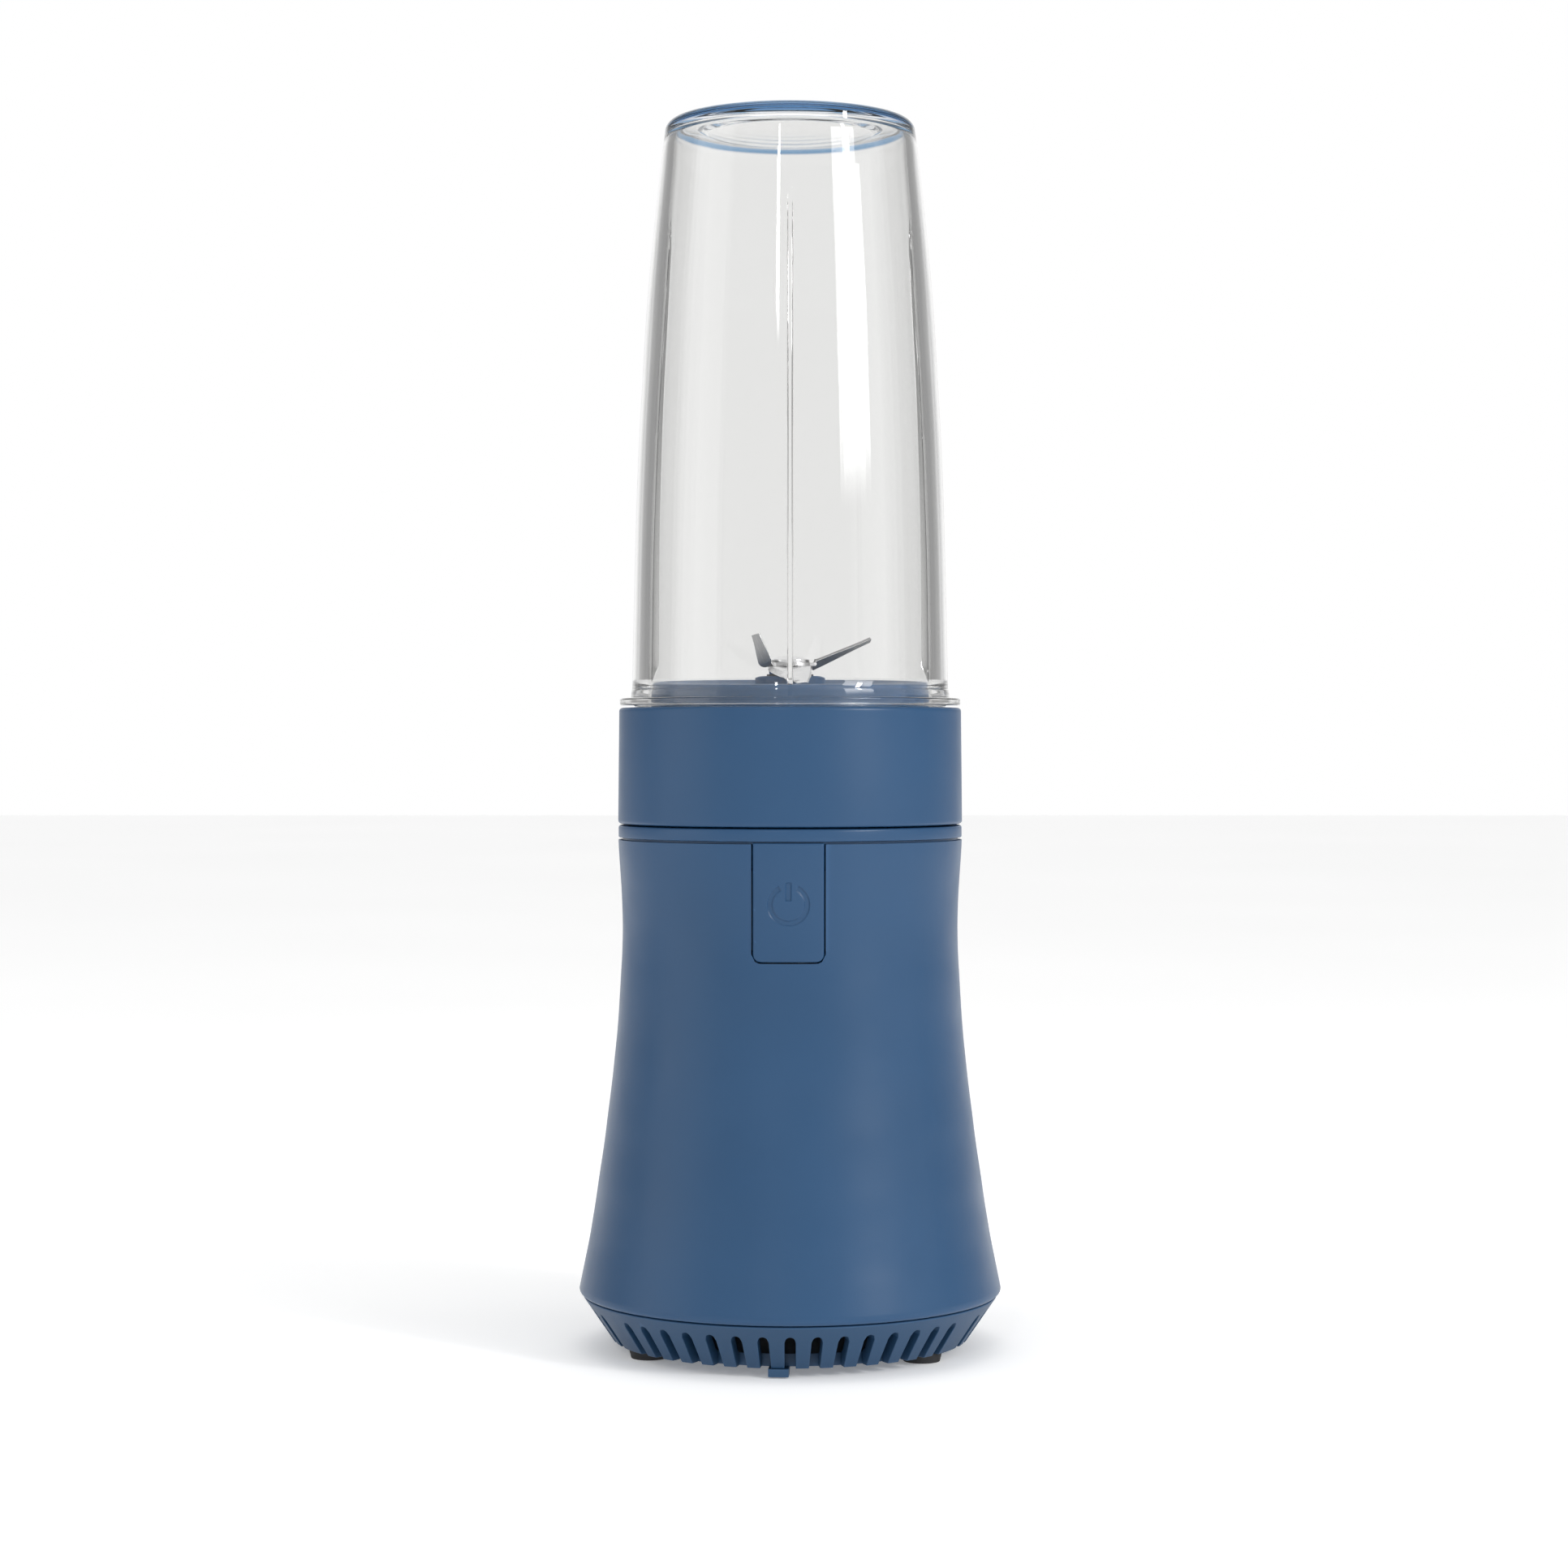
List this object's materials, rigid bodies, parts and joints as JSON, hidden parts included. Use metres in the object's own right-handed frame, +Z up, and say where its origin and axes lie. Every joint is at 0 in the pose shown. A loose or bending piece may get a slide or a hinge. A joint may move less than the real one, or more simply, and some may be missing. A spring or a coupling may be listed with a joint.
{
  "type": "countertop blender",
  "caption": "Personal blender: clear inverted cup screwed to a blade unit that drops onto a flared motor base with a front push button.",
  "frame": {"origin": "on the blender's axis, at the bottom of the feet", "axes": "+Z up along the axis through motor, blades and cup; -Y is the front, with the button"},
  "size_m": [0.108, 0.108, 0.3139],
  "materials": {
    "shell_blue": "satin moulded",
    "skirt_blue": "satin moulded",
    "clear_cup": "clear polished plastic",
    "blade_steel": "ground",
    "silicone": "matte",
    "black_rubber": "matte",
    "black_plastic": "matte",
    "machined_steel": "turned",
    "lamination": "stacked sheet",
    "copper": "enamelled wire",
    "carbon": "pressed",
    "cast_metal": "cast"
  },
  "bodies": {
    "motor_base": {"motor_housing": "shell_blue", "well_cap": "shell_blue", "well_seal": "black_rubber", "vent_base": "skirt_blue", "bottom_plate": "skirt_blue", "base_screws": "machined_steel", "feet": "black_rubber", "cord_gland": "black_rubber", "switch_body": "black_plastic", "switch_bracket": "machined_steel", "switch_screws": "machined_steel", "stator_core": "lamination", "field_coils": "copper", "upper_bracket": "cast_metal", "lower_bracket": "cast_metal", "upper_bearing": "machined_steel", "lower_bearing": "machined_steel", "bracket_screws": "machined_steel", "brush_holders": "black_plastic", "carbon_brushes": "carbon", "brush_springs": "machined_steel"},
    "rotor": {"motor_shaft": "machined_steel", "armature_core": "lamination", "armature_winding": "copper", "commutator": "copper", "cooling_fan": "black_plastic", "drive_coupling": "black_plastic"},
    "button": {"power_button": "shell_blue", "button_spring": "machined_steel"},
    "plunger": {"switch_plunger": "black_plastic"},
    "blade_unit": {"blade_base": "shell_blue", "bearing_sleeve": "machined_steel", "lower_bush": "copper", "upper_bush": "copper", "shaft_seal": "black_rubber"},
    "blades": {"blade_shaft": "machined_steel", "blade_circlip": "machined_steel", "blade_washer": "machined_steel", "lower_blade": "blade_steel", "upper_blade": "blade_steel", "blade_nut": "blade_steel", "driven_coupling": "black_plastic"},
    "gasket": {"cup_gasket": "silicone"},
    "cup": {"cup": "clear_cup"}
  },
  "joints": [
    {"name": "rotor_spin", "type": "hinge", "parent": "motor_base", "child": "rotor", "pos_m": [0, 0, 0.1], "axis": [0, 0, 1], "continuous": true},
    {"name": "button_press", "type": "slide", "parent": "motor_base", "child": "button", "axis": [0, 1, 0], "range_m": [0, 0.0025], "stiffness_N_per_m": 900, "deforming": ["button_spring"]},
    {"name": "plunger_press", "type": "slide", "parent": "motor_base", "child": "plunger", "axis": [0, 1, 0], "range_m": [0, 0.0025]},
    {"name": "blade_unit_lift", "type": "slide", "parent": "motor_base", "child": "blade_unit", "axis": [0, 0, 1], "range_m": [0, 0.03]},
    {"name": "blade_spin", "type": "hinge", "parent": "blade_unit", "child": "blades", "pos_m": [0, 0, 0.17], "axis": [0, 0, 1], "continuous": true},
    {"name": "cup_turn", "type": "hinge", "parent": "blade_unit", "child": "gasket", "pos_m": [0, 0, 0.15], "axis": [0, 0, 1], "range_deg": [0, 300]},
    {"name": "cup_rise", "type": "slide", "parent": "gasket", "child": "cup", "axis": [0, 0, 1], "range_m": [0, 0.0101]}
  ],
  "couplings": [
    {"joint": "blade_spin", "follows": "rotor_spin", "ratio": 1},
    {"joint": "plunger_press", "follows": "button_press", "ratio": 1},
    {"joint": "cup_rise", "follows": "cup_turn", "m_per_rad": 0.0019099}
  ]
}
